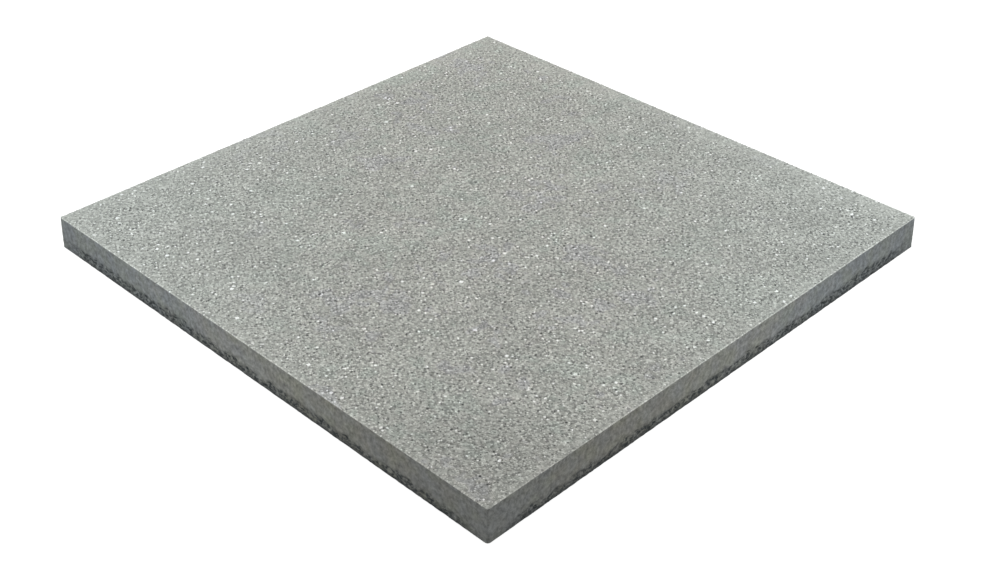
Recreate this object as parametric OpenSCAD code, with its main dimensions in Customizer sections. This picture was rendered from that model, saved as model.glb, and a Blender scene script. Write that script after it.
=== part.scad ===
// A concrete paving slab, pressed face down in a drafted mould and turned over to lie as it is laid.
// The wearing face is up and the bed face is down, with the origin at the middle of the bed face.

/* [Plan] */
// Length along X, over the widest line of the sides, at the top of the foot's bevel
slab_length = 600; // [300:50:900]
// Width along Y, over the same line
slab_width = 600; // [300:50:900]

/* [Section] */
// Thickness from the bed face to the wearing face
slab_thickness = 35; // [32:1:80]
// Draft of the mould's walls, in degrees, which makes the wearing face smaller than the bed face
mould_draft = 3; // [0.5:0.5:5]

/* [Edges] */
// Radius of the upright corners where they meet the wearing face
corner_radius = 1.5; // [1.5:0.5:12]
// Radius of the arris round the wearing face
arris_radius = 1; // [0.6:0.1:1.4]
// Bevel of the foot round the bed face, the same up the side and across the bed
foot_bevel = 0.8; // [0.4:0.1:1.5]

/* [Hidden] */
$fn = 96;

// Height of the drafted sides, from the top of the foot's bevel to the wearing face
side_height = slab_thickness - foot_bevel;
// How far they lean out over that height, to a hundredth, so that straight sides and corners meet exactly
lean = round(100 * side_height * tan(mould_draft)) / 100;
// The angle that they then make with the upright
side_angle = atan(lean / side_height);
// Radius of the upright corners at the widest line, round the same centres as at the face
foot_radius = corner_radius + lean;
// Distance between the centres of the upright corners, along X and along Y
core_length = slab_length - 2 * foot_radius;
core_width = slab_width - 2 * foot_radius;

// How far the side stands out from the corner centres at height z
function side_at(z) = foot_radius - (z - foot_bevel) * tan(side_angle);

// The quarter of a disc between +X and +Y
module quarter_round(radius) {
    intersection() {
        circle(radius);
        square(radius);
    }
}

// Section of the edge, out from the line of the corner centres: bevelled foot, drafted side, round arris
module edge_section() {
    arris_z = slab_thickness - arris_radius;
    arris_x = side_at(arris_z) - arris_radius / cos(side_angle);
    polygon([
        [0, 0],
        [foot_radius - foot_bevel, 0],
        [foot_radius, foot_bevel],
        [arris_x + arris_radius * cos(side_angle), arris_z + arris_radius * sin(side_angle)],
        [arris_x, arris_z],
        [arris_x, slab_thickness],
        [0, slab_thickness]
    ]);
    translate([arris_x, arris_z])
        quarter_round(arris_radius);
}

// One straight side, facing +X, of the given run
module straight_side(run) {
    rotate([90, 0, 0])
        linear_extrude(run, center = true)
            edge_section();
}

// One upright corner, the quarter turn between +X and +Y
module upright_corner() {
    rotate_extrude(angle = 90)
        edge_section();
}

module slab() {
    color([0.63, 0.64, 0.61])
        union() {
            translate([-core_length / 2, -core_width / 2, 0])
                cube([core_length, core_width, slab_thickness]);
            for (side = [0, 1]) {
                rotate(180 * side)
                    translate([core_length / 2, 0, 0])
                        straight_side(core_width);
                rotate(180 * side + 90)
                    translate([core_width / 2, 0, 0])
                        straight_side(core_length);
                rotate(180 * side)
                    translate([core_length / 2, core_width / 2, 0])
                        upright_corner();
                rotate(180 * side + 90)
                    translate([core_width / 2, core_length / 2, 0])
                        upright_corner();
            }
        }
}

slab();
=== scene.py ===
# A concrete paving slab: one closed concrete skin with a blasted wearing face, mould-cast sides and a torn
# foot, and the crushed stones that the blasting has bared, set in the face as chips.
import math

import bpy
import numpy as np
from mathutils import Matrix, Vector


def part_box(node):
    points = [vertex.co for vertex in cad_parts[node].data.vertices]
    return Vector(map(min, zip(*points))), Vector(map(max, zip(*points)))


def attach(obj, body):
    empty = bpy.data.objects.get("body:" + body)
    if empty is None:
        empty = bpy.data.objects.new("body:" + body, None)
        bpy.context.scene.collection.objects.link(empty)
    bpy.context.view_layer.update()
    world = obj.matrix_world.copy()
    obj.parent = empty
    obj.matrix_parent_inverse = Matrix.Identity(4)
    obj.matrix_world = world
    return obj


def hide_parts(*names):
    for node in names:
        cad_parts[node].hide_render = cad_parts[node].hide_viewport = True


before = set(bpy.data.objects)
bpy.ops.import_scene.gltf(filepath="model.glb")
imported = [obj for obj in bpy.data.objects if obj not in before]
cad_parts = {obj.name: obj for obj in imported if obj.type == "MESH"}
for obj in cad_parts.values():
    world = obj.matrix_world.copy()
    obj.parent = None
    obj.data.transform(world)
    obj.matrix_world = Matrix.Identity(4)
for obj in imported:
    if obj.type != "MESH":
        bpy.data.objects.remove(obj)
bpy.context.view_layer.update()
slabLow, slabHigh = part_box("slab")

mm = 0.001
slabSize = np.array(slabHigh - slabLow) / mm  # length, width and thickness in millimetres
slabTop = slabSize[2]
tiny = 1e-9           # too short to count
bakeMap = "OFBake"    # the UV map that a texture bake of a piece goes through
hashPrimes = (73856093, 19349663, 83492791)
hashSize = 8192       # random numbers that a hash picks from, a power of two
mixFrom, mixTo, mixOut = 6, 7, 2  # the two colours that a Mix node takes, and the one that it gives


# A random number in 0..1 at each point: values on a cubic lattice of the given cell, picked by a hash of the
# cell's three whole numbers and blended across the cell by the smooth step 3t^2 - 2t^3.
def latticeNoise(points, cell, seed):
    table = np.random.default_rng(seed).random(hashSize)
    at = points / cell
    low = np.floor(at).astype(np.int64)
    t = at - low
    t = t * t * (3 - 2 * t)
    total = np.zeros(len(at))
    for corner in np.ndindex(2, 2, 2):
        mixed = np.bitwise_xor.reduce((low + corner) * hashPrimes, axis=1)
        total += table[mixed & (hashSize - 1)] * np.prod(np.where(corner, t, 1 - t), axis=1)
    return total


# Lattice noises added up, each given by its cell in millimetres, its seed and its share
def layeredNoise(points, layers):
    return sum(latticeNoise(points, cell, seed) * share for cell, seed, share in layers)


# 0 below low, 1 above high, and the smooth step 3t^2 - 2t^3 between them
def smoothStep(value, low, high):
    t = np.clip((value - low) / (high - low), 0, 1)
    return t * t * (3 - 2 * t)


# Puts a mesh piece in the scene: points in millimetres, faces as arrays of 3 or 4 corners, each corner's
# place on the bake map, and a number at each point for every attribute
def makePiece(name, points, faces, cornerMap, attributes, smooth):
    mesh = bpy.data.meshes.new(name)
    mesh.from_pydata((points * mm).tolist(), [], [corners for block in faces for corners in block.tolist()])
    mesh.uv_layers.new(name=bakeMap)
    mesh.uv_layers[bakeMap].uv.foreach_set("vector", cornerMap.astype(np.float32).ravel())
    for key, values in attributes.items():
        mesh.attributes.new(key, "FLOAT", "POINT").data.foreach_set("value", values.astype(np.float32))
    mesh.polygons.foreach_set("use_smooth", np.full(len(mesh.polygons), smooth))
    mesh.update()
    piece = bpy.data.objects.new(name, mesh)
    bpy.context.scene.collection.objects.link(piece)
    return piece


# sRGB hex to linear: c / 12.92 up to 0.04045, and ((c + 0.055) / 1.055) ^ 2.4 above it
def linear(hexCode):
    shares = [int(hexCode[i:i + 2], 16) / 255 for i in (1, 3, 5)]
    return (*(c / 12.92 if c <= 0.04045 else ((c + 0.055) / 1.055) ** 2.4 for c in shares), 1)


# How many times a pattern of this size in millimetres repeats in a metre, as a texture's Scale takes it
def perMetre(size):
    return 1 / (size * mm)


# Adds a node with its settings, sets or links its inputs, and gives a colour ramp its stops, from low to high
def addNode(tree, kind, inputs=None, stops=None, **settings):
    node = tree.nodes.new(kind)
    for name, value in settings.items():
        setattr(node, name, value)
    for name, value in (inputs or {}).items():
        if isinstance(value, bpy.types.NodeSocket):
            tree.links.new(value, node.inputs[name])
        else:
            node.inputs[name].default_value = value
    if stops:
        elements = node.color_ramp.elements
        elements[0].position, elements[1].position = stops[0][0], stops[-1][0]
        for place, _ in stops[1:-1]:
            elements.new(place)
        for element, (_, hexCode) in zip(elements, stops):
            element.color = linear(hexCode)
    return node


def newMaterial(name):
    material = bpy.data.materials.new(name)
    material.use_nodes = True
    tree = material.node_tree
    tree.nodes.clear()
    return material, tree


# Camera

# Solved from the four corners of the face and the three lower corners in the photograph, then from its edges
cameraSet = {
    "azimuth": 45.0,        # degrees round the slab, over the corner between +X and -Y
    "elevation": 33.94,     # degrees above the level
    "sensor": 36.0,         # mm, width
    "focal": 54.27,         # mm
    "distance": 1485.65,    # mm from the middle of the wearing face, along the view
    "drop": 63.94,          # mm that the view's middle passes below the middle of the face
    "shift": 0.0123,        # of the image's width, because the slab is left of its middle
    "clip": (0.01, 50.0),   # m
}


def makeCamera(settings):
    azimuth, elevation = math.radians(settings["azimuth"]), math.radians(settings["elevation"])
    back = Vector((math.sin(azimuth) * math.cos(elevation), -math.cos(azimuth) * math.cos(elevation),
                   math.sin(elevation)))
    turn = (-back).to_track_quat("-Z", "Y")
    down = turn @ Vector((0, -1, 0))
    data = bpy.data.cameras.new("photoView")
    data.sensor_width = settings["sensor"]
    data.lens = settings["focal"]
    data.shift_x = settings["shift"]
    data.clip_start, data.clip_end = settings["clip"]
    camera = bpy.data.objects.new("photoView", data)
    faceMiddle = Vector((0, 0, slabTop * mm))
    place = faceMiddle + back * settings["distance"] * mm + down * settings["drop"] * mm
    camera.matrix_world = Matrix.Translation(place) @ turn.to_matrix().to_4x4()
    bpy.context.scene.collection.objects.link(camera)
    bpy.context.scene.camera = camera


makeCamera(cameraSet)
print("camera placed")

# Section of the edge

sectionSet = {
    "lean": 1.79,           # mm that the sides lean out from the face to the foot
    "cornerRadius": 1.5,    # mm, of the upright corners at the face
    "arrisRadius": 1.0,     # mm
    "footBevel": 0.8,       # mm
}
sideAngle = math.atan(sectionSet["lean"] / (slabTop - sectionSet["footBevel"]))
sideTop = slabSize[:2] / 2 - sectionSet["lean"]  # where the sides would meet the face without an arris
footRadius = sectionSet["cornerRadius"] + sectionSet["lean"]
cornerCentres = slabSize[:2] / 2 - footRadius
arrisRadius = sectionSet["arrisRadius"]
arrisOut = (sectionSet["cornerRadius"] + arrisRadius * math.tan(sideAngle)
            - arrisRadius / math.cos(sideAngle))  # from the corner centres to the edge of the flat face


# Rows of the section from the edge of the flat face to the edge of the bed: how far out from the line of the
# corner centres, height, and the angle above the level at which the surface faces
def sectionRows(settings):
    bevel, top = sectionSet["footBevel"], settings["footRowsTop"]
    angles = np.linspace(math.pi / 2, sideAngle, settings["arrisRows"] + 1)
    arris = np.stack([arrisOut + arrisRadius * np.cos(angles),
                      slabTop - arrisRadius + arrisRadius * np.sin(angles), angles], 1)
    heights = np.concatenate([np.linspace(arris[-1, 1], top, settings["sideRows"] + 1)[1:],
                              np.linspace(top, bevel, settings["footRows"] + 1)[1:]])
    side = np.stack([footRadius - (heights - bevel) * math.tan(sideAngle), heights,
                     np.full(len(heights), sideAngle)], 1)
    return np.concatenate([arris, side, [[footRadius - bevel, 0, -math.pi / 4]]])


# The boundary of the square from -1 to 1, counter-clockwise from its lowest corner, with cells steps a side
def squareRing(cells):
    t = np.arange(cells) / cells * 2 - 1
    one = np.ones(cells)
    return np.concatenate([np.stack(side, 1) for side in ((t, -one), (one, t), (-t, one), (-one, -t))])


# Points of a ring round the slab, out from the line of the corner centres, and the way each faces on plan:
# the square is stretched to the ring, and what passes both centres of a corner is pulled on to an arc whose
# radius is the way out
def ringPoints(unit, out):
    at = unit * (cornerCentres + out)
    past = np.abs(at) - cornerCentres
    arc = past / np.maximum(np.linalg.norm(past, axis=1), tiny)[:, None]
    inCorner = (past > 0).all(1)[:, None]
    facing = np.sign(at) * np.where(inCorner, arc, past >= past.max(1)[:, None] - tiny)
    return np.where(inCorner, np.sign(at) * (cornerCentres + arc * out), at), facing


# Quads of a grid with cells steps a side, whose points run along X first, and its boundary as squareRing runs
def gridFaces(cells, first):
    number = first + np.arange((cells + 1) ** 2).reshape(cells + 1, cells + 1)
    quads = np.stack([number[:-1, :-1], number[:-1, 1:], number[1:, 1:], number[1:, :-1]], -1).reshape(-1, 4)
    edge = np.concatenate([number[0, :-1], number[:-1, -1], number[-1, :0:-1], number[:0:-1, 0]])
    return quads, edge


# Quads between two rings of as many points, the first nearer the middle of the face
def ringQuads(ring, after):
    return np.stack([ring, after, np.roll(after, -1), np.roll(ring, -1)], 1)


# Three triangles for each step of the coarse ring, which has half as many points as the fine one
def stepFaces(coarse, fine, coarseFirst):
    c0, c1 = coarse, np.roll(coarse, -1)
    f0, f1, f2 = fine[0::2], fine[1::2], np.roll(fine[0::2], -1)
    if coarseFirst:
        blocks = [(c0, f0, f1), (c0, f1, c1), (c1, f1, f2)]
    else:
        blocks = [(f0, c0, f1), (c0, c1, f1), (f1, c1, f2)]
    return np.concatenate([np.stack(block, 1) for block in blocks])


# Skin

# Lengths are in mm, and a noise has layers of cell in mm, seed and share
skinSet = {
    "faceCells": 224,       # along each side of the face; the sides have twice as many
    "bedCells": 28,         # along each side of the bed, fewer than the sides by a power of two
    "arrisRows": 4,
    "sideRows": 8,
    "footRows": 11,
    "footRowsTop": 15.0,    # height under which the rows are closer
    "roughen": 0.55,        # by which the face's points are moved along it
    "roughenSeed": 3,
    "blastedFacing": (0.02, 0.7),   # upward part of the facing, from unblasted to fully blasted
    "pasteDepth": 0.3,      # of the blasted paste below the stones
    "hollowDepth": 0.3,     # more where the noise of its hollows is 1 over their level
    "hollowLevel": 0.35,
    "hollowNoise": [(2.9, 2, 1.0)],
    "bedFacing": -0.9,      # upward part of the facing under which it is the bed's
    "bedDepth": 0.5,
    "bedNoise": [(9, 31, 1.0)],
    "nickDepth": 0.32,      # lost from the arris in its small nicks
    "nickNoise": [(2.6, 11, 0.6), (5.5, 12, 0.4)],
    "chipDepth": 0.9,       # lost from the arris in its chips
    "chipNoise": [(13, 13, 1.0)],
    "chipRange": (0.74, 0.98),  # of that noise, from no chip to a full one
    "wearFade": (0.3, 2.0),     # from the line of the arris to where its wear starts to fade and ends
    "arrisHighlight": (-0.2, 0.6),     # past the edge of the flat face, from none to the full rubbing and painted highlight
    "cornerHighlight": (-1.5, 1.0),    # past the corner centres, the same for the upright corner's painted highlight
    "margins": (18.0, 42.0),    # width of the pale margin along the sides towards the view and away from it
    "marginStart": 0.06,    # of its width, within which it is palest
    "marginNear": 0.7,      # how pale it is towards the view, against 1 away from it
    "tornHeight": (8.0, 8.0),   # least height of the torn foot, and how much higher it may climb
    "tornNoise": [(19, 21, 0.5), (6, 24, 0.5)],
    "tornFall": 3.5,        # that it falls along a side, from the corners at X = Y to the other two
    "tornFade": (4.0, 1.0),     # under and over its line, within which it ends
    "tornCorner": (0.25, 2.0, 50.0),    # share at an upright corner, and where it starts and stops to grow
    "tornDepth": 1.2,
    "gapNoise": [((3.4, 3.4, 2.6), 22, 0.6), ((6.5, 6.5, 4), 23, 0.4)],
    "gapRange": (0.36, 0.7),    # of that noise, from a grain to the full depth of a gap
    "gapHeights": (-1.0, 5.0),  # from no depth to full depth, so that the gaps are shallow at the bed
}
onFace, onSide, onBed = 0, 1, 2  # parts of the bake map, and finishes


# The skin on the exact form of the slab: its points, the way each faces, and blocks of faces with the part
# of the bake map and the finish that each block has. A grid covers the face, rings run down the arris and the
# side with twice as many points a side, and further rings halve them across the bed to a coarse grid.
def plainSkin(settings):
    faceCells, fineCells, bedCells = settings["faceCells"], settings["faceCells"] * 2, settings["bedCells"]
    t = np.linspace(-1, 1, faceCells + 1)
    square = np.stack(np.meshgrid(t, t), -1).reshape(-1, 2)
    inside = (np.abs(square) < 1 - tiny).all(1)[:, None]
    moved = np.random.default_rng(settings["roughenSeed"]).uniform(-1, 1, square.shape) * inside
    place = square * cornerCentres + moved * settings["roughen"]
    points = [np.column_stack([place, np.full(len(square), slabTop)])]
    facings = [np.tile((0.0, 0.0, 1.0), (len(square), 1))]
    quads, ring = gridFaces(faceCells, 0)
    blocks = [(quads, onFace, onFace)]
    count = len(square)
    rows = sectionRows(settings)
    unit = squareRing(fineCells)
    for i, (out, height, angle) in enumerate(rows):
        place, facing = ringPoints(unit, out)
        points.append(np.column_stack([place, np.full(len(unit), height)]))
        facings.append(np.column_stack([facing * math.cos(angle), np.full(len(unit), math.sin(angle))]))
        after = count + np.arange(len(unit))
        if i == 0:
            blocks.append((stepFaces(ring, after, True), onFace, onFace))
        elif i <= settings["arrisRows"]:
            blocks.append((ringQuads(ring, after), onSide, onFace))
        elif i < len(rows) - 1:
            blocks.append((ringQuads(ring, after), onSide, onSide))
        else:
            blocks.append((ringQuads(ring, after), onBed, onSide))
        ring, count = after, count + len(unit)
    cells = fineCells // 2
    out = rows[-1, 0] - slabSize[0] / cells
    while cells > bedCells:
        unit = squareRing(cells)
        place, _ = ringPoints(unit, out)
        points.append(np.column_stack([place, np.zeros(len(unit))]))
        facings.append(np.tile((0.0, 0.0, -1.0), (len(unit), 1)))
        after = count + np.arange(len(unit))
        blocks.append((stepFaces(after, ring, False), onBed, onBed))
        ring, count = after, count + len(unit)
        cells //= 2
        out -= slabSize[0] / cells
    t = np.linspace(-1, 1, bedCells + 1)
    square = np.stack(np.meshgrid(t, t), -1).reshape(-1, 2)
    points.append(np.column_stack([square * (cornerCentres + out), np.zeros(len(square))]))
    facings.append(np.tile((0.0, 0.0, -1.0), (len(square), 1)))
    quads, edge = gridFaces(bedCells, count)
    blocks += [(stepFaces(edge, ring, False), onBed, onBed), (quads[:, ::-1], onBed, onBed)]
    return np.concatenate(points), np.concatenate(facings), blocks


# Share by which the foot is torn open at each point: full under a ragged line, nothing over it or on the bed,
# and less at the upright corners, where the mix packs tighter
def tornShare(at, facing, settings):
    least, more = settings["tornHeight"]
    under, over = settings["tornFade"]
    left, near, far = settings["tornCorner"]
    ragged = layeredNoise(at * (1, 1, 0), settings["tornNoise"])
    line = least + more * ragged + settings["tornFall"] * (0.5 - np.abs(at[:, 0] - at[:, 1]) / slabSize[0])
    fromCorner = slabSize[0] / 2 - np.abs(at[:, :2]).min(1)
    loose = left + (1 - left) * smoothStep(fromCorner, near, far)
    share = (1 - smoothStep(at[:, 2], line - under, line + over)) * loose
    return share * (facing[:, 2] > settings["bedFacing"])


# Depth in millimetres lost from the arris: value noise of two sizes for its nicks and a rarer one for its
# chips, fading away from the line where the side would meet the face
def arrisWear(at, settings):
    away = np.hypot((sideTop - np.abs(at[:, :2])).min(1), slabTop - at[:, 2])
    small = layeredNoise(at, settings["nickNoise"])
    large = smoothStep(layeredNoise(at, settings["chipNoise"]), *settings["chipRange"])
    lost = settings["nickDepth"] * small ** 2 + settings["chipDepth"] * large * small
    return lost * (1 - smoothStep(away, *settings["wearFade"]))


# Share of the pale margin at each point of the face, where the fines gather along the mould's wall: highest
# at the arris and falling to 0 over the margin's width
def marginShare(at, settings):
    (halfLength, halfWidth), (x, y) = slabSize[:2] / 2, at[:, :2].T
    near, far = settings["margins"]
    start = settings["marginStart"]
    towards = 1 - smoothStep(np.minimum(halfLength - x, halfWidth + y) / near, start, 1)
    away = 1 - smoothStep(np.minimum(halfLength + x, halfWidth - y) / far, start, 1)
    return np.maximum(towards * settings["marginNear"], away)


# Share of the arris's rubbing and painted highlight on the face: 0 on the flat, 1 from the top of the arris
# down
def arrisHighlightShare(at, settings):
    out = np.linalg.norm(np.maximum(np.abs(at[:, :2]) - cornerCentres, 0), axis=1)
    start, full = settings["arrisHighlight"]
    return smoothStep(out, arrisOut + start, arrisOut + full)


# Share of the painted highlight on the upright corner between +X and -Y at each point of the sides, against
# the shade of that corner, which faces the view: 1 on the corner's round and 0 a little beside it
def cornerHighlightShare(at, settings):
    return smoothStep(np.minimum(at[:, 0], -at[:, 1]) - cornerCentres.min(), *settings["cornerHighlight"])


# Depth in millimetres of every point below the exact form. The face has its paste's hollows, the foot the
# gaps between its grains, and the bed a slow unevenness.
def skinDepth(at, facing, torn, settings):
    blasted = smoothStep(facing[:, 2], *settings["blastedFacing"])
    hollow = layeredNoise(at, settings["hollowNoise"]) - settings["hollowLevel"]
    paste = settings["pasteDepth"] + settings["hollowDepth"] * hollow
    gaps = smoothStep(layeredNoise(at, settings["gapNoise"]), *settings["gapRange"])
    tear = settings["tornDepth"] * torn * gaps * smoothStep(at[:, 2], *settings["gapHeights"])
    onTheBed = facing[:, 2] < settings["bedFacing"]
    bed = settings["bedDepth"] * layeredNoise(at, settings["bedNoise"]) * onTheBed
    return blasted * paste + arrisWear(at, settings) + tear + bed


# Shares of the bake map, which is 1 wide and 1 high
mapSet = {
    "face": 0.79,           # side of the face
    "gap": 0.012,           # between neighbouring parts
    "bed": (0.19, 0.98),    # width and height of the bed
    "strip": 0.049,         # height from one side's strip to the next
    "stripFill": 0.9,       # share of that height that a side fills
    "stripSpare": 4.0,      # mm that a strip has over the thickness of the slab, for the lean and the arris
}


# Where each face corner lies on the bake map: the face fills most of it, the four sides are strips above it,
# and the bed, which nobody sees, is squeezed into the column beside them.
def skinMap(at, blocks, settings):
    share, gap = settings["face"], settings["gap"]
    maps = []
    for faces, part, _ in blocks:
        corner = at[faces]
        across = corner[..., :2] / slabSize[:2] + 0.5
        if part == onFace:
            place = gap / 2 + across * share
        elif part == onBed:
            place = across * settings["bed"] + (share + gap, gap / 2)
        else:
            middle = corner.mean(1)
            alongX = (np.abs(middle[:, 1]) > np.abs(middle[:, 0]))[:, None]
            side = np.where(alongX, np.where(middle[:, 1:2] < 0, 0, 2), np.where(middle[:, :1] > 0, 1, 3))
            run = np.where(alongX, across[..., 0], across[..., 1])
            beyond = np.abs(corner[..., :2]) - slabSize[:2] / 2
            climb = (corner[..., 2] - beyond.max(-1)) / (slabTop + settings["stripSpare"])
            strip = side + climb * settings["stripFill"]
            place = np.stack([gap / 2 + run * share, share + gap + strip * settings["strip"]], -1)
        maps.append(place.reshape(-1, 2))
    return np.concatenate(maps)


skinAt, skinFacing, skinBlocks = plainSkin(skinSet)
torn = tornShare(skinAt, skinFacing, skinSet)
depth = skinDepth(skinAt, skinFacing, torn, skinSet)
# The arris's rubbing and painted highlight, and the upright corner's painted highlight, go to the shader as
# attributes
slabSkin = makePiece("slabSkin", skinAt - skinFacing * depth[:, None], [faces for faces, _, _ in skinBlocks],
                     skinMap(skinAt, skinBlocks, mapSet),
                     {"torn": torn, "margin": marginShare(skinAt, skinSet),
                      "highlighted": arrisHighlightShare(skinAt, skinSet), "corner": cornerHighlightShare(skinAt, skinSet)}, True)
finishes = np.concatenate([np.full(len(faces), finish) for faces, _, finish in skinBlocks])
slabSkin.data.polygons.foreach_set("material_index", finishes.astype(np.int32))
print("skin made:", sum(len(faces) * (faces.shape[1] - 2) for faces, _, _ in skinBlocks), "triangles")

# Stones

stoneSet = {
    "seed": 5,
    "spacing": 2.75,        # mm between the middles of neighbouring stones
    "jitter": 0.75,         # mm that each is moved off its place, at most
    "radius": (1.05, 1.45), # mm
    "rarity": 4,            # power of the random number behind a stone's size, so that large ones are rare
    "mixing": 1.0,          # by how much a stone's tone keeps clear of its neighbours'
    "arrisSize": 1.05,      # mm, the largest radius at the arris, which grows with the way in from there
    "lap": 1.2,             # radians that stones go round the arris
    "upper": 0.82,          # of a stone's radius, how wide its upper square is
    "uneven": (0.8, 1.15),  # range in which each corner's way out is stretched
    "slender": 0.65,        # least width of a stone against its length
    "sunk": (0.0, 0.35),    # mm that a stone's top lies below the face
    "reach": (0.35, 0.8),   # of its radius that a stone goes down into the paste, past pasteDepth
    "tip": 0.13,            # slope of a stone's top
    "rough": 0.04,          # mm that the corners of its top lie above or below their plane
    "cell": 2.6,            # of its radius, the width of a stone's cell on the bake map
    "cellEdge": 0.05,       # of its cell that stays empty on each side
}
# Share of each kind among the stones, the range of its size against theirs, its tones from dark to light, and
# its roughness
stoneKinds = {
    "basaltChips": (0.083, (0.85, 1.35), ["#444544", "#5e5f5d", "#7a7b78"], 0.75),
    "graniteChips": (0.285, (0.9, 1.1), ["#7e7f7b", "#949590", "#a7a8a3"], 0.7),
    "limestoneChips": (0.302, (0.9, 1.1), ["#a7a8a3", "#b7b8b3", "#c6c7c2"], 0.75),
    "feldsparChips": (0.3, (0.9, 1.1), ["#c6c7c2", "#d3d4cf", "#e8e9e4"], 0.6),
    "quartzChips": (0.03, (1.0, 2.3), ["#e8e9e4", "#fafaf8", "#ffffff"], 0.3),
}
squareCorners = 4
chipCorners = 2 * squareCorners  # those of the upper square first


# Middles, radii, largest radii and tones of the stones on the unrolled face: a lattice of equal triangles,
# each point moved at random, out to where the stones end round the arris. The tones are ranks from 0 to 1 of
# a random number less a share of the mean of its neighbours', so that dark and pale stones lie side by side.
def placeStones(settings, rng):
    step, row = settings["spacing"], settings["spacing"] * math.sqrt(3) / 2
    columns, lines = int(slabSize[0] / step) + 1, int(slabSize[1] / row) + 1
    x, y = np.meshgrid(np.arange(columns), np.arange(lines))
    at = np.stack([(x + y % 2 / 2 - columns / 2) * step, (y - lines / 2) * row], -1).reshape(-1, 2)
    at += rng.uniform(-1, 1, at.shape) * settings["jitter"]
    tone = rng.random(x.shape)
    beside = sum(np.roll(tone, move, axis) for axis in (0, 1) for move in (-1, 1)) / 4
    tone = np.argsort(np.argsort((tone - settings["mixing"] * beside).ravel())) / tone.size
    radius = rng.uniform(*settings["radius"], len(at))
    past = np.abs(at) - cornerCentres
    out = np.linalg.norm(np.maximum(past, 0), axis=1)
    keep = out < arrisOut + arrisRadius * settings["lap"]
    wayIn = np.maximum(arrisOut - out + np.maximum(-past.max(1), 0), 0)
    largest = settings["arrisSize"] + wayIn
    return at[keep], radius[keep], largest[keep], tone[keep]


# Sets points, given for each stone as two steps along the unrolled face and a height above it, on the real
# face: past the arris's start the way round its arc turns the stone by that length over the arris radius.
# What would stand over the face is cut level with it, and the stone sinks by the arris's wear at its middle.
def wrapFace(at, local):
    past = np.maximum(np.abs(at) - cornerCentres, 0)
    out = np.linalg.norm(past, axis=1)
    outward = np.sign(at) * past / np.maximum(out, tiny)[:, None]
    angle = np.maximum(out - arrisOut, 0) / arrisRadius
    level = np.where(angle > 0, arrisOut + arrisRadius * np.sin(angle), out)[:, None]
    middle = np.column_stack([np.clip(at, -cornerCentres, cornerCentres) + outward * level,
                              slabTop - arrisRadius * (1 - np.cos(angle))])
    normal = np.column_stack([outward * np.sin(angle)[:, None], np.cos(angle)])
    axis = np.column_stack([-outward[:, 1], outward[:, 0], np.zeros(len(at))])[:, None]
    once = np.cross(axis, local)
    angle = angle[:, None, None]
    points = middle[:, None] + local + np.sin(angle) * once + (1 - np.cos(angle)) * np.cross(axis, once)
    points[..., 2] = np.minimum(points[..., 2], slabTop)
    return points - (normal * arrisWear(middle, skinSet)[:, None])[:, None]


# Crushed chips as square antiprisms: an upper square, smaller and slightly tipped, over a lower one turned by
# an eighth and sunk in the paste, with every corner moved a little at random
def chipShape(radius, rng, settings):
    count = len(radius)
    angle = np.arange(squareCorners) * math.pi / 2
    angle = np.concatenate([angle, angle + math.pi / 4])
    reach = np.concatenate([np.full(squareCorners, settings["upper"]), np.ones(squareCorners)])
    reach = reach * rng.uniform(*settings["uneven"], (count, chipCorners)) * radius[:, None]
    turn = rng.uniform(0, 2 * math.pi, count)[:, None]
    x = reach * np.cos(angle)
    y = reach * np.sin(angle) * rng.uniform(settings["slender"], 1, count)[:, None]
    slopeX, slopeY = rng.normal(0, settings["tip"], (2, count, 1))
    upper = slopeX * x[:, :squareCorners] + slopeY * y[:, :squareCorners]
    upper = upper + rng.normal(0, settings["rough"], (count, squareCorners))
    upper = np.minimum(upper - rng.uniform(*settings["sunk"], count)[:, None], 0)
    lower = -skinSet["pasteDepth"] - radius[:, None] * rng.uniform(*settings["reach"], (count, squareCorners))
    return np.stack([x * np.cos(turn) - y * np.sin(turn), x * np.sin(turn) + y * np.cos(turn),
                     np.concatenate([upper, lower], 1)], -1)


# Two triangles for each square and eight round the sides, for every chip
def chipFaces(count):
    upper, lower = np.arange(squareCorners), np.arange(squareCorners, chipCorners)
    after = np.roll(upper, -1)
    sides = np.concatenate([np.stack([upper, lower, after], 1),
                            np.stack([lower, np.roll(lower, -1), after], 1)])
    ends = np.array([[0, 1, 2], [0, 2, 3], [4, 6, 5], [4, 7, 6]])
    return (np.concatenate([ends, sides]) + np.arange(count)[:, None, None] * chipCorners).reshape(-1, 3)


# Each chip's corners in a cell of its own, as seen from above
def chipMap(local, radius, faces, settings):
    across = math.ceil(math.sqrt(len(local)))
    inCell = local[..., :2] / (settings["cell"] * radius[:, None, None]) + 0.5
    inCell = np.clip(inCell, settings["cellEdge"], 1 - settings["cellEdge"])
    cell = np.stack([np.arange(len(local)) % across, np.arange(len(local)) // across], 1)[:, None]
    return ((cell + inCell) / across).reshape(-1, 2)[faces.ravel()]


rng = np.random.default_rng(stoneSet["seed"])
stoneAt, stoneRadius, stoneLargest, stoneTone = placeStones(stoneSet, rng)
stonePieces = {}
start = 0.0
for name, (share, (small, large), _, _) in stoneKinds.items():
    chosen = (stoneTone >= start) & (stoneTone < start + share)
    inKind = (stoneTone[chosen] - start) / share
    start += share
    size = small + (large - small) * rng.random(chosen.sum()) ** stoneSet["rarity"]
    radius = np.minimum(stoneRadius[chosen] * size, stoneLargest[chosen])
    local = chipShape(radius, rng, stoneSet)
    corners = chipFaces(len(local))
    points = wrapFace(stoneAt[chosen], local).reshape(-1, 3)
    stonePieces[name] = makePiece(name, points, [corners], chipMap(local, radius, corners, stoneSet),
                                  {"tone": np.repeat(inKind, chipCorners),
                                   "margin": marginShare(points, skinSet),
                                   "highlighted": arrisHighlightShare(points, skinSet)}, False)
    print(name, len(local), "chips,", len(corners), "triangles")

# Materials


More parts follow.
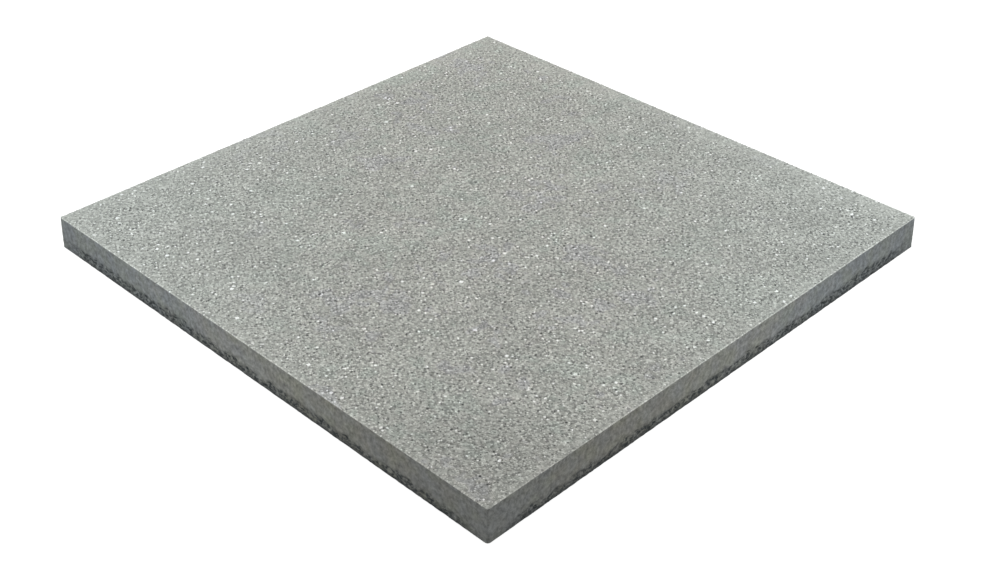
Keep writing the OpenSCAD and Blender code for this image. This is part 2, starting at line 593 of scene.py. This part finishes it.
# Ends a material: a principled surface of one colour and roughness, with a normal where it has one. Dry
# concrete has little gloss.
def finishMaterial(tree, colour, roughness, normal=None):
    inputs = {"Base Color": colour, "Roughness": roughness, "Specular IOR Level": 0.3}
    if normal is not None:
        inputs["Normal"] = normal
    shader = addNode(tree, "ShaderNodeBsdfPrincipled", inputs)
    addNode(tree, "ShaderNodeOutputMaterial", {"Surface": shader.outputs["BSDF"]})


# Tints of the whole face. Ways across it are in metres from its middle.
faceSet = {
    "marginColour": "#c3c4bf",
    "marginShare": 0.3,     # of that colour in the margin
    "arrisHighlightGain": 0.4,      # by which the arris is brighter, for its rubbing and a painted highlight
    "leftToRight": (0.707, 0.707, 0),
    "outerTint": "#f9fefe",
    "outerRun": {"From Min": 0.1, "From Max": 0.36},
    "clouds": {"Scale": perMetre(60), "Detail": 3.0, "Roughness": 0.8},
    "cloudHues": [(0.41, "#f9fefb"), (0.46, "#fdfefc"), (0.54, "#fdfefc"), (0.58, "#fffefc"),
                  (0.62, "#fbfbff")],
    "cloudTones": {"From Min": 0.4, "From Max": 0.6, "To Min": 0.955, "To Max": 1.045},
    "backToFront": (0.707, -0.707, 0),
    "driftRun": {"From Min": -0.4, "From Max": 0.4},
    # Painted light and shade from the back corner to the front one: darker over the back half, lightest just
    # behind the front corner, darker at it
    "paintedLightAndShade": [(0.03, "#fdfdfd"), (0.13, "#f8f8f8"), (0.34, "#f8f8f8"), (0.42, "#fbfbfb"),
                   (0.69, "#fcfcfc"), (0.85, "#ffffff"), (0.91, "#f7f7f7"), (0.97, "#f3f3f3")],
}


# What the whole face shares: a pale margin, and an arris brightened by its rubbing and by a painted
# highlight, where their attributes say; clouds of a slightly greener, rosier or seldom bluer hue and of
# lighter and darker tone; a greener hue towards the two corners left and right of the view; and painted light
# and shade along the other diagonal, darker over the back half and at the front corner
def faceColour(tree, place, colour, settings):
    margin = addNode(tree, "ShaderNodeAttribute", attribute_name="margin").outputs["Fac"]
    pale = addNode(tree, "ShaderNodeMath", {0: margin, 1: settings["marginShare"]}, operation="MULTIPLY")
    colour = addNode(tree, "ShaderNodeMix", {0: pale.outputs[0], mixFrom: colour,
                                             mixTo: linear(settings["marginColour"])}, data_type="RGBA")
    clouds = addNode(tree, "ShaderNodeTexNoise", {"Vector": place, **settings["clouds"]}).outputs["Color"]
    parts = addNode(tree, "ShaderNodeSeparateColor", {"Color": clouds}).outputs
    hue = addNode(tree, "ShaderNodeValToRGB", {"Fac": parts["Red"]}, settings["cloudHues"])
    tone = addNode(tree, "ShaderNodeMapRange", {"Value": parts["Green"], **settings["cloudTones"]})
    along = addNode(tree, "ShaderNodeVectorMath", {0: place, 1: settings["leftToRight"]},
                    operation="DOT_PRODUCT").outputs["Value"]
    aside = addNode(tree, "ShaderNodeMath", {0: along}, operation="ABSOLUTE").outputs[0]
    outer = addNode(tree, "ShaderNodeMapRange", {"Value": aside, **settings["outerRun"]}).outputs["Result"]
    tint = addNode(tree, "ShaderNodeMix", {0: outer, mixFrom: hue.outputs["Color"],
                                           mixTo: linear(settings["outerTint"])}, data_type="RGBA")
    tinted = addNode(tree, "ShaderNodeMix", {0: 1.0, mixFrom: colour.outputs[mixOut],
                                             mixTo: tint.outputs[mixOut]}, data_type="RGBA",
                     blend_type="MULTIPLY").outputs[mixOut]
    # Painted light and shade along the diagonal from back to front
    forth = addNode(tree, "ShaderNodeVectorMath", {0: place, 1: settings["backToFront"]},
                    operation="DOT_PRODUCT").outputs["Value"]
    run = addNode(tree, "ShaderNodeMapRange", {"Value": forth, **settings["driftRun"]}).outputs["Result"]
    drift = addNode(tree, "ShaderNodeValToRGB", {"Fac": run}, settings["paintedLightAndShade"]).outputs["Color"]
    paintedShading = addNode(tree, "ShaderNodeVectorMath", {0: tinted, 1: drift}, operation="MULTIPLY")
    # The arris is brightened for its rubbing and with a painted highlight against the shade of its round
    highlighted = addNode(tree, "ShaderNodeAttribute", attribute_name="highlighted").outputs["Fac"]
    bright = addNode(tree, "ShaderNodeMath", {0: highlighted, 1: settings["arrisHighlightGain"],
                                              2: tone.outputs["Result"]}, operation="MULTIPLY_ADD")
    return addNode(tree, "ShaderNodeVectorMath", {0: paintedShading.outputs["Vector"], "Scale": bright.outputs[0]},
                   operation="SCALE").outputs["Vector"]


# The sand is drawn at 2 mm and its grit at 1.3 mm, two to four times as coarse as the real, so that they show
pasteSet = {
    "sand": {"Scale": perMetre(2)},
    "sandTones": [(0, "#818280"), (0.2, "#949591"), (0.5, "#a7a8a3"), (0.8, "#b8b9b4"), (1, "#d2d3ce")],
    "grit": {"Scale": perMetre(1.3), "Detail": 2.0},
    "gritBump": {"Strength": 0.7, "Distance": 0.5 * mm},
    "roughness": 0.92,
}


# Concrete paste, shot-blasted: its cement skin is gone, so that its fine sand shows in the hollows between
# the stones, each grain with a tone of its own
def blastedPaste(settings):
    material, tree = newMaterial("blastedPaste")
    place = addNode(tree, "ShaderNodeTexCoord").outputs["Object"]
    sand = addNode(tree, "ShaderNodeTexVoronoi", {"Vector": place, **settings["sand"]}).outputs["Color"]
    pick = addNode(tree, "ShaderNodeSeparateColor", {"Color": sand}).outputs["Red"]
    tones = addNode(tree, "ShaderNodeValToRGB", {"Fac": pick}, settings["sandTones"]).outputs["Color"]
    grit = addNode(tree, "ShaderNodeTexNoise", {"Vector": place, **settings["grit"]}).outputs["Fac"]
    bump = addNode(tree, "ShaderNodeBump", {"Height": grit, **settings["gritBump"]}).outputs["Normal"]
    finishMaterial(tree, faceColour(tree, place, tones, faceSet), settings["roughness"], bump)
    return material


# The dust's grain and the dark specks under the arris are drawn at 3 to 5 mm, coarser than the real, so that
# they show
sideSet = {
    "backAndFront": (1, -1, 0),     # gives 0.6 m at the back and front corners and 0 at the outer ones
    "driftNoise": {"Scale": perMetre(30), "Detail": 1.0},
    "driftShare": 0.4,              # m by which that noise moves the drift of tint
    "driftRun": {"From Min": 0.2, "From Max": 0.8},
    "tints": [(0.08, "#7f8485"), (0.25, "#828787"), (0.42, "#888a88"), (0.58, "#878984"), (0.75, "#85857f"),
              (0.92, "#858784")],   # from the outer corners to the back and front ones
    "stainNoise": {"Scale": perMetre(18), "Detail": 1.0},
    "stains": [(0.36, "#fafbfe"), (0.5, "#fdfdfc"), (0.64, "#fefff8")],
    "grain": {"Scale": perMetre(4.2), "Detail": 3.0, "Roughness": 0.7},
    "grainShade": {"From Min": 0.25, "From Max": 0.75, "To Min": 0.48, "To Max": 1.52},
    "grainBump": {"Strength": 0.4, "Distance": 0.4 * mm},
    "cornerHighlightGain": 0.25,             # by which the painted highlight brightens the upright corner towards the view
    "rim": {"From Min": 28 * mm, "From Max": 33 * mm},  # heights over which the dark specks set in, under the arris
    "underRimNoise": {"Scale": perMetre(3), "Detail": 1.0},
    "underRimSpecks": {"From Min": 0.52, "From Max": 0.6, "To Max": 0.35},
    "underRimColour": "#40413c",
    "gapStretch": (1, 1, 1.7),      # gaps in the torn foot are lower than wide
    "gapNoise": {"Scale": perMetre(5), "Detail": 4.0, "Roughness": 0.7},
    "gaps": {"From Min": 0.42, "From Max": 0.58, "To Min": 1.0, "To Max": 0.18},
    # Dark of the open mix together with painted shade, in the foot's gaps and at its bottom edge
    "gapDarkAndShadeColour": "#272d2e",
    "footEdgeDarkAndShade": {"From Min": 4.5 * mm, "From Max": 0.8 * mm, "To Max": 0.9},
    "footDarkAndShadeColour": "#2a2e2f",
    "roughness": 0.8,
}


# Concrete cast against a steel mould: dense, smooth and dusty. Its grey goes from bluer at the outer corners
# to browner near the back and front ones, with faint stains. It has dark specks under the arris, and a
# painted highlight against the shade of the upright corner towards the view. The foot, where the dry mix
# tore, is open, and darkened in its gaps and towards its bottom edge, partly by the mix's own dark and partly
# by painted shade.
def castSide(settings):
    material, tree = newMaterial("castSide")
    place = addNode(tree, "ShaderNodeTexCoord").outputs["Object"]
    height = addNode(tree, "ShaderNodeSeparateXYZ", {"Vector": place}).outputs["Z"]
    along = addNode(tree, "ShaderNodeVectorMath", {0: place, 1: settings["backAndFront"]},
                    operation="DOT_PRODUCT").outputs["Value"]
    run = addNode(tree, "ShaderNodeMath", {0: along}, operation="ABSOLUTE").outputs[0]
    wander = addNode(tree, "ShaderNodeTexNoise", {"Vector": place, **settings["driftNoise"]}).outputs["Fac"]
    drift = addNode(tree, "ShaderNodeMath", {0: wander, 1: settings["driftShare"], 2: run},
                    operation="MULTIPLY_ADD").outputs[0]
    pick = addNode(tree, "ShaderNodeMapRange", {"Value": drift, **settings["driftRun"]}).outputs["Result"]
    tint = addNode(tree, "ShaderNodeValToRGB", {"Fac": pick}, settings["tints"]).outputs["Color"]
    patch = addNode(tree, "ShaderNodeTexNoise", {"Vector": place, **settings["stainNoise"]}).outputs["Fac"]
    stain = addNode(tree, "ShaderNodeValToRGB", {"Fac": patch}, settings["stains"]).outputs["Color"]
    stained = addNode(tree, "ShaderNodeMix", {0: 1.0, mixFrom: tint, mixTo: stain}, data_type="RGBA",
                      blend_type="MULTIPLY").outputs[mixOut]
    grain = addNode(tree, "ShaderNodeTexNoise", {"Vector": place, **settings["grain"]}).outputs["Fac"]
    shade = addNode(tree, "ShaderNodeMapRange", {"Value": grain, **settings["grainShade"]}).outputs["Result"]
    dusty = addNode(tree, "ShaderNodeVectorMath", {0: stained, "Scale": shade}, operation="SCALE")
    # Painted highlight on the upright corner towards the view, against its shade
    corner = addNode(tree, "ShaderNodeAttribute", attribute_name="corner").outputs["Fac"]
    gain = addNode(tree, "ShaderNodeMath", {0: corner, 1: settings["cornerHighlightGain"], 2: 1.0},
                   operation="MULTIPLY_ADD").outputs[0]
    highlighted = addNode(tree, "ShaderNodeVectorMath", {0: dusty.outputs["Vector"], "Scale": gain},
                     operation="SCALE").outputs["Vector"]
    # Darker specks under the arris
    rim = addNode(tree, "ShaderNodeMapRange", {"Value": height, **settings["rim"]}).outputs["Result"]
    speck = addNode(tree, "ShaderNodeTexNoise", {"Vector": place, **settings["underRimNoise"]}).outputs["Fac"]
    underRimSpeck = addNode(tree, "ShaderNodeMapRange", {"Value": speck, **settings["underRimSpecks"]}).outputs["Result"]
    underRim = addNode(tree, "ShaderNodeMath", {0: rim, 1: underRimSpeck}, operation="MULTIPLY").outputs[0]
    underRimDarkened = addNode(tree, "ShaderNodeMix", {0: underRim, mixFrom: highlighted,
                                             mixTo: linear(settings["underRimColour"])}, data_type="RGBA")
    # The foot's gaps are darkened by the open mix's own dark and by painted shade in them
    torn = addNode(tree, "ShaderNodeAttribute", attribute_name="torn").outputs["Fac"]
    flat = addNode(tree, "ShaderNodeMapping", {"Vector": place, "Scale": settings["gapStretch"]})
    mottle = addNode(tree, "ShaderNodeTexNoise", {"Vector": flat.outputs["Vector"], **settings["gapNoise"]})
    gap = addNode(tree, "ShaderNodeMapRange", {"Value": mottle.outputs["Fac"], **settings["gaps"]})
    dark = addNode(tree, "ShaderNodeMath", {0: torn, 1: gap.outputs["Result"]}, operation="MULTIPLY")
    gapsDarkAndShaded = addNode(tree, "ShaderNodeMix", {0: dark.outputs[0], mixFrom: underRimDarkened.outputs[mixOut],
                                             mixTo: linear(settings["gapDarkAndShadeColour"])}, data_type="RGBA")
    # Darker towards the bottom edge of the torn foot: the mix's own dark and painted contact shade
    low = addNode(tree, "ShaderNodeMapRange", {"Value": height, **settings["footEdgeDarkAndShade"]}).outputs["Result"]
    edge = addNode(tree, "ShaderNodeMath", {0: low, 1: torn}, operation="MULTIPLY").outputs[0]
    colour = addNode(tree, "ShaderNodeMix", {0: edge, mixFrom: gapsDarkAndShaded.outputs[mixOut],
                                             mixTo: linear(settings["footDarkAndShadeColour"])}, data_type="RGBA")
    bump = addNode(tree, "ShaderNodeBump", {"Height": grain, **settings["grainBump"]}).outputs["Normal"]
    finishMaterial(tree, colour.outputs[mixOut], settings["roughness"], bump)
    return material


bedSet = {
    "grit": {"Scale": perMetre(3), "Detail": 4.0},
    "gritTones": [(0.3, "#74777a"), (0.7, "#92938f")],
    "gritBump": {"Strength": 0.8, "Distance": 0.8 * mm},
    "roughness": 0.95,
}


# The back of the slab, screeded in the mould: level, dusty and open
def screededBed(settings):
    material, tree = newMaterial("screededBed")
    place = addNode(tree, "ShaderNodeTexCoord").outputs["Object"]
    grit = addNode(tree, "ShaderNodeTexNoise", {"Vector": place, **settings["grit"]}).outputs["Fac"]
    tones = addNode(tree, "ShaderNodeValToRGB", {"Fac": grit}, settings["gritTones"]).outputs["Color"]
    bump = addNode(tree, "ShaderNodeBump", {"Height": grit, **settings["gritBump"]}).outputs["Normal"]
    finishMaterial(tree, tones, settings["roughness"], bump)
    return material


chipSet = {
    "grain": {"Scale": perMetre(0.8), "Detail": 1.0},
    "grainShade": {"From Min": 0.3, "From Max": 0.7, "To Min": 0.94, "To Max": 1.06},
}


# Crushed stone, broken clean: each chip has one tone of its kind, clouded by its own grain
def crushedStone(name, tones, roughness, settings):
    material, tree = newMaterial(name)
    place = addNode(tree, "ShaderNodeTexCoord").outputs["Object"]
    tone = addNode(tree, "ShaderNodeAttribute", attribute_name="tone").outputs["Fac"]
    base = addNode(tree, "ShaderNodeValToRGB", {"Fac": tone}, list(zip((0, 0.5, 1), tones))).outputs["Color"]
    grain = addNode(tree, "ShaderNodeTexNoise", {"Vector": place, **settings["grain"]}).outputs["Fac"]
    shade = addNode(tree, "ShaderNodeMapRange", {"Value": grain, **settings["grainShade"]}).outputs["Result"]
    colour = addNode(tree, "ShaderNodeVectorMath", {0: base, "Scale": shade}, operation="SCALE")
    finishMaterial(tree, faceColour(tree, place, colour.outputs["Vector"], faceSet), roughness)
    return material


for material in (blastedPaste(pasteSet), castSide(sideSet), screededBed(bedSet)):
    slabSkin.data.materials.append(material)
for name, (_, _, tones, roughness) in stoneKinds.items():
    stonePieces[name].data.materials.append(crushedStone(name, tones, roughness, chipSet))

for piece in (slabSkin, *stonePieces.values()):
    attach(piece, "root")
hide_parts("slab")
print("pieces dressed")

# Studio

studioSet = {
    "worldLevel": 0.4,
    # Pairs of softboxes, one left and one right: how far across, behind and above the middle of the slab,
    # what they face, across and behind, and the side of the box, all in metres, and the power in watts
    "boxes": {
        "high": ((1.057, 0.51, 0.616), (0.0, 0.0), 0.8, 10.9),
        "low": ((0.506, -0.414, 0.188), (0.235, -0.19), 0.35, 0.58),
    },
    "floorSide": 14.0,      # m
    "floorDrop": 0.1,       # mm, clear of the bed face
    "floorPaint": "#959595",
    "floorGlow": 0.88,      # what a seen floor gives off by itself, so that it is white and its shadows pale
}


# 1 for what the eye sees straight, mirrored or through glass, and 0 for the light that falls on the slab
def seenDirectly(tree):
    light = addNode(tree, "ShaderNodeLightPath").outputs
    mirrored = addNode(tree, "ShaderNodeMath", {0: light["Is Camera Ray"], 1: light["Is Glossy Ray"]},
                       operation="MAXIMUM")
    return addNode(tree, "ShaderNodeMath", {0: mirrored.outputs[0], 1: light["Is Transmission Ray"]},
                   operation="MAXIMUM").outputs[0]


def makeSky(settings):
    world = bpy.data.worlds.new("studio")
    world.use_nodes = True
    tree = world.node_tree
    tree.nodes.clear()
    level = addNode(tree, "ShaderNodeMapRange", {"Value": seenDirectly(tree),
                                                 "To Min": settings["worldLevel"], "To Max": 1.0})
    sky = addNode(tree, "ShaderNodeBackground", {"Color": (1, 1, 1, 1), "Strength": level.outputs["Result"]})
    addNode(tree, "ShaderNodeOutputWorld", {"Surface": sky.outputs["Background"]})
    bpy.context.scene.world = world


def makeSoftboxes(settings):
    azimuth = math.radians(cameraSet["azimuth"])
    right = Vector((math.cos(azimuth), math.sin(azimuth), 0))
    away = Vector((-math.sin(azimuth), math.cos(azimuth), 0))
    for name, ((across, behind, height), (aimAcross, aimBehind), size, power) in settings["boxes"].items():
        for side in (-1, 1):
            lamp = bpy.data.lights.new(name + "Softbox", "AREA")
            lamp.size = size
            lamp.energy = power
            box = bpy.data.objects.new(name + "Softbox", lamp)
            box.location = side * across * right + behind * away + Vector((0, 0, height))
            aim = side * aimAcross * right + aimBehind * away
            box.rotation_euler = (aim - box.location).to_track_quat("-Z", "Y").to_euler()
            box.visible_camera = False
            bpy.context.scene.collection.objects.link(box)


def makeFloor(settings):
    half = settings["floorSide"] / 2
    mesh = bpy.data.meshes.new("floor")
    mesh.from_pydata([(-half, -half, 0), (half, -half, 0), (half, half, 0), (-half, half, 0)], [],
                     [(0, 1, 2, 3)])
    floor = bpy.data.objects.new("floor", mesh)
    floor.location.z = -settings["floorDrop"] * mm
    bpy.context.scene.collection.objects.link(floor)
    material, tree = newMaterial("paleFloor")
    paint = addNode(tree, "ShaderNodeBsdfDiffuse", {"Color": linear(settings["floorPaint"])})
    glow = addNode(tree, "ShaderNodeMath", {0: seenDirectly(tree), 1: settings["floorGlow"]},
                   operation="MULTIPLY")
    lit = addNode(tree, "ShaderNodeEmission", {"Color": (1, 1, 1, 1), "Strength": glow.outputs[0]})
    both = addNode(tree, "ShaderNodeAddShader", {0: paint.outputs[0], 1: lit.outputs[0]})
    addNode(tree, "ShaderNodeOutputMaterial", {"Surface": both.outputs[0]})
    mesh.materials.append(material)


makeSky(studioSet)
makeSoftboxes(studioSet)
makeFloor(studioSet)
bpy.context.scene.view_settings.view_transform = "Standard"
print("studio made")
